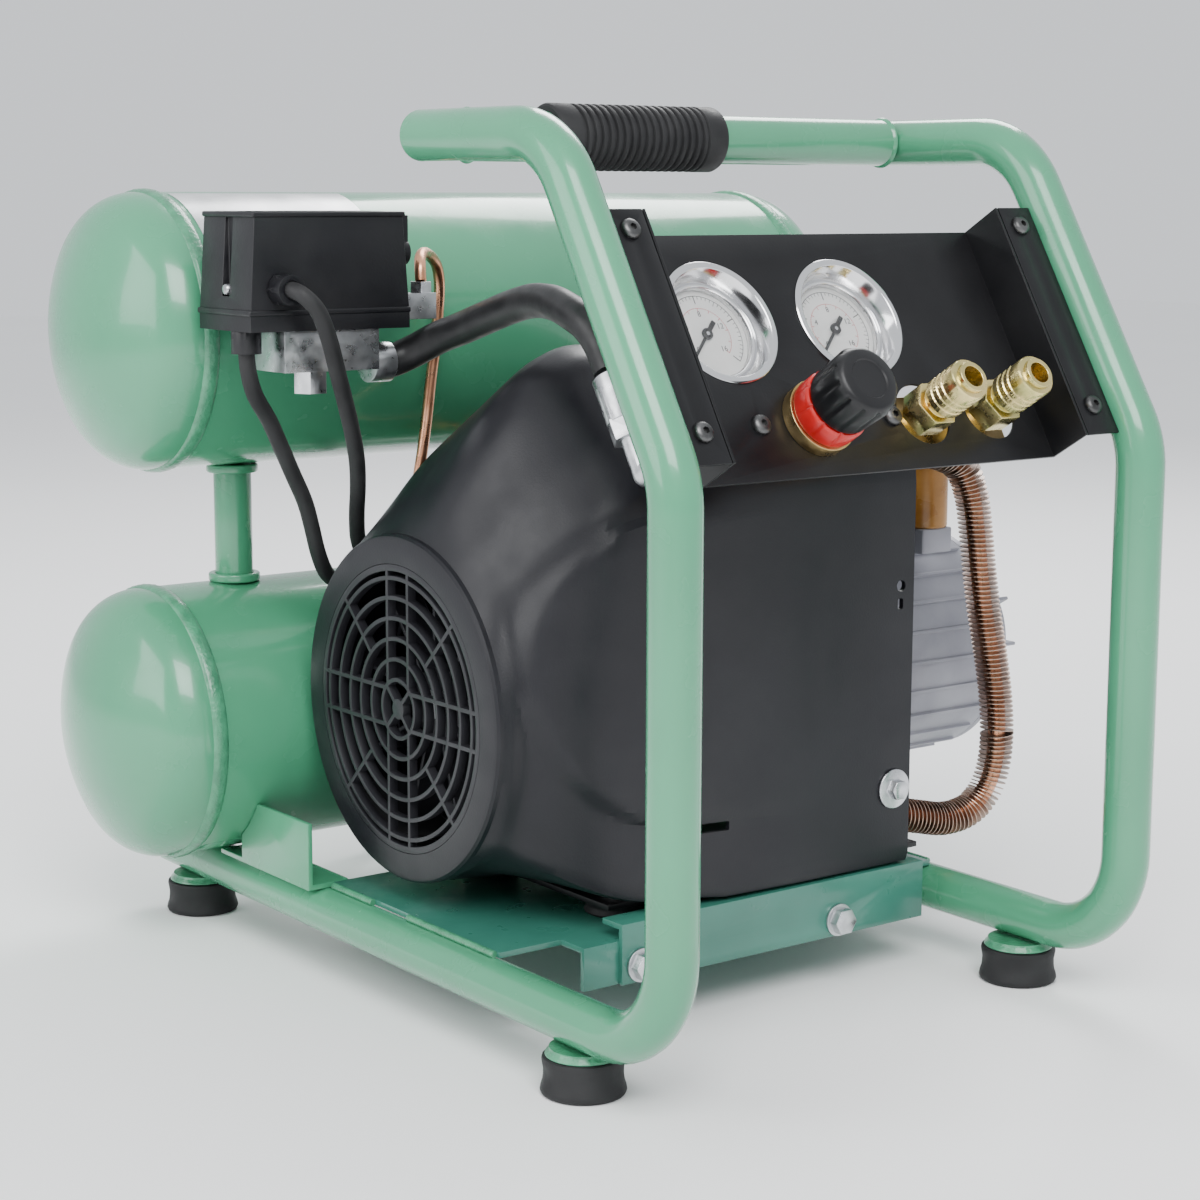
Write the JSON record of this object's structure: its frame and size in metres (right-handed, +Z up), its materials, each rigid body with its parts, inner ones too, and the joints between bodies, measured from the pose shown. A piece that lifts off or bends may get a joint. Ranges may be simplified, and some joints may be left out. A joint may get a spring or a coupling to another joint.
{
  "type": "twin-tank air compressor",
  "caption": "Portable electric air compressor with two stacked tanks, a tubular carrying frame, a sloping gauge panel and a shrouded pump.",
  "frame": {"origin": "centre of the compressor's box at floor level, without the supply cord", "axes": "+X along the tanks to the motor end, +Y from the gauge panel to the tanks, +Z up"},
  "size_m": [0.5212, 0.6807, 0.475],
  "materials": {
    "frame_paint": "gloss",
    "base_paint": "gloss",
    "black_paint": "satin",
    "rubber": "matte",
    "black_plastic": "satin",
    "red_plastic": "gloss",
    "white_enamel": "satin",
    "bright_steel": "satin",
    "chromed": "polished",
    "aluminium": "cast",
    "brass": "satin",
    "copper": "copper, satin",
    "iron": "machined",
    "glass": "clear",
    "amber_plastic": "satin"
  },
  "bodies": {
    "compressor": {"left_side_frame": "frame_paint", "right_side_frame": "frame_paint", "handle_crossbar": "frame_paint", "handle_grip": "rubber", "foot_cups": "frame_paint", "rubber_feet": "rubber", "tank_brackets": "frame_paint", "base_tray": "base_paint", "front_channel": "base_paint", "base_bolts": "bright_steel", "mount_isolators": "rubber", "motor_cradle": "black_paint", "upper_tank_shell": "frame_paint", "lower_tank_shell": "frame_paint", "tank_heads": "frame_paint", "tank_link_pipes": "frame_paint", "tank_fittings": "brass", "control_panel": "black_paint", "panel_screws": "black_paint", "gauge_cases": "chromed", "gauge_dials": "white_enamel", "gauge_lenses": "glass", "panel_manifold": "brass", "tank_label": "bright_steel", "coupler_bodies": "brass", "switch_base": "black_plastic", "switch_cover": "black_plastic", "switch_manifold": "aluminium", "cord_glands": "black_plastic", "air_hose": "rubber", "hose_fittings": "bright_steel", "unloader_tube": "copper", "motor_lead": "rubber", "supply_cord": "rubber", "supply_cord_coil": "rubber", "supply_plug": "black_plastic", "fan_shroud": "black_plastic", "fan_grille": "black_plastic", "shroud_screws": "bright_steel", "motor_housing": "aluminium", "motor_end_bell": "aluminium", "stator_core": "iron", "shaft_bearings": "bright_steel", "crankcase": "aluminium", "cylinder_head": "aluminium", "aftercooler_tube": "copper", "start_capacitor": "amber_plastic"},
    "drive_line": {"drive_shaft": "bright_steel", "cooling_fan": "black_plastic"},
    "rod_and_piston": {"connecting_rod": "aluminium", "piston": "black_plastic"},
    "tank_needle": {"tank_gauge_needle": "black_paint"},
    "outlet_needle": {"outlet_gauge_needle": "black_paint"},
    "lock_ring": {"regulator_lock_ring": "red_plastic"},
    "knob": {"regulator_knob": "black_plastic"},
    "left_sleeve": {"left_coupler_sleeve": "brass"},
    "right_sleeve": {"right_coupler_sleeve": "brass"},
    "lever": {"switch_lever": "black_plastic"},
    "relief_ring": {"safety_valve_ring": "bright_steel"},
    "drain_handle": {"drain_tap": "brass"}
  },
  "joints": [
    {"name": "motor_spin", "type": "hinge", "parent": "compressor", "child": "drive_line", "pos_m": [-0.0195, 0.00135, 0.158], "axis": [1, 0, 0], "continuous": true},
    {"name": "rod_swivel", "type": "hinge", "parent": "drive_line", "child": "rod_and_piston", "pos_m": [-0.0195, 0.00135, 0.166], "axis": [1, 0, 0], "continuous": true},
    {"name": "tank_needle_swing", "type": "hinge", "parent": "compressor", "child": "tank_needle", "pos_m": [-0.0915, -0.16994, 0.36277], "axis": [0, -0.856, 0.5169], "range_deg": [-270, 0]},
    {"name": "outlet_needle_swing", "type": "hinge", "parent": "compressor", "child": "outlet_needle", "pos_m": [-0.0085, -0.16994, 0.36277], "axis": [0, -0.856, 0.5169], "range_deg": [-270, 0]},
    {"name": "lock_ring_turn", "type": "hinge", "parent": "compressor", "child": "lock_ring", "pos_m": [-0.0555, -0.2172, 0.32706], "axis": [0, -0.856, 0.5169], "range_deg": [-60, 0]},
    {"name": "knob_turn", "type": "hinge", "parent": "compressor", "child": "knob", "pos_m": [-0.0555, -0.23004, 0.33482], "axis": [0, -0.856, 0.5169], "range_deg": [-360, 360]},
    {"name": "left_sleeve_slide", "type": "slide", "parent": "compressor", "child": "left_sleeve", "axis": [0, 0.856, -0.5169], "range_m": [0, 0.0035], "stiffness_N_per_m": 800, "springref_m": -0.004},
    {"name": "right_sleeve_slide", "type": "slide", "parent": "compressor", "child": "right_sleeve", "axis": [0, 0.856, -0.5169], "range_m": [0, 0.0035], "stiffness_N_per_m": 800, "springref_m": -0.004},
    {"name": "lever_tilt", "type": "hinge", "parent": "compressor", "child": "lever", "pos_m": [-0.1245, 0.05335, 0.398], "axis": [1, 0, 0], "range_deg": [0, 50]},
    {"name": "relief_ring_pull", "type": "slide", "parent": "compressor", "child": "relief_ring", "axis": [0, 0.856, -0.5169], "range_m": [0, 0.003], "stiffness_N_per_m": 800, "springref_m": -0.004},
    {"name": "drain_turn", "type": "hinge", "parent": "compressor", "child": "drain_handle", "pos_m": [0.0005, 0.18135, 0.024], "axis": [0, 0, 1], "range_deg": [0, 90]}
  ],
  "couplings": [
    {"joint": "rod_swivel", "follows": "motor_spin", "ratio": -1}
  ]
}
